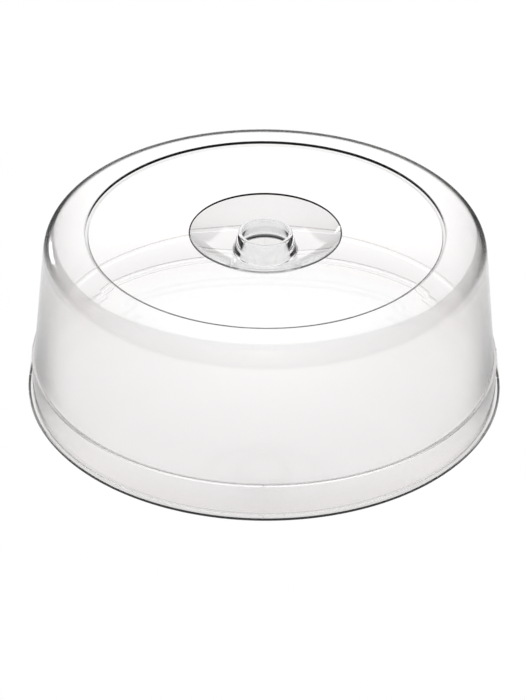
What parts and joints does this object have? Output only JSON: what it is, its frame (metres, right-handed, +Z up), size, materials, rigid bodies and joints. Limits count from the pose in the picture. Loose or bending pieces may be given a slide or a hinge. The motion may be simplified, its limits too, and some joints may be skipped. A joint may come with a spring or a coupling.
{
  "type": "cake stand with dome",
  "caption": "Low round cake stand: flat clear plate on a foot ring and a clear lift-off dome with a ribbed foot band, rounded shoulder, flat top and a sunk dish with a finger collar.",
  "frame": {"origin": "middle of the ring face that the plate rests on", "axes": "+Z up along the axis of the plate and the dome; the dome's four ribs lie on the X and Y axes, with one at the front on -Y"},
  "size_m": [0.3006, 0.3006, 0.112],
  "materials": {
    "clear_plate": "clear rigid plastic, polished",
    "clear_cover": "clear rigid plastic, polished",
    "clear_dish": "clear rigid plastic, polished"
  },
  "bodies": {
    "base": {"base_plate": "clear_plate"},
    "dome": {"dome_cover": "clear_cover", "handle_dish": "clear_dish"}
  },
  "joints": [
    {"name": "dome_lift", "type": "slide", "parent": "base", "child": "dome", "axis": [0, 0, 1], "range_m": [0, 0.13]}
  ]
}
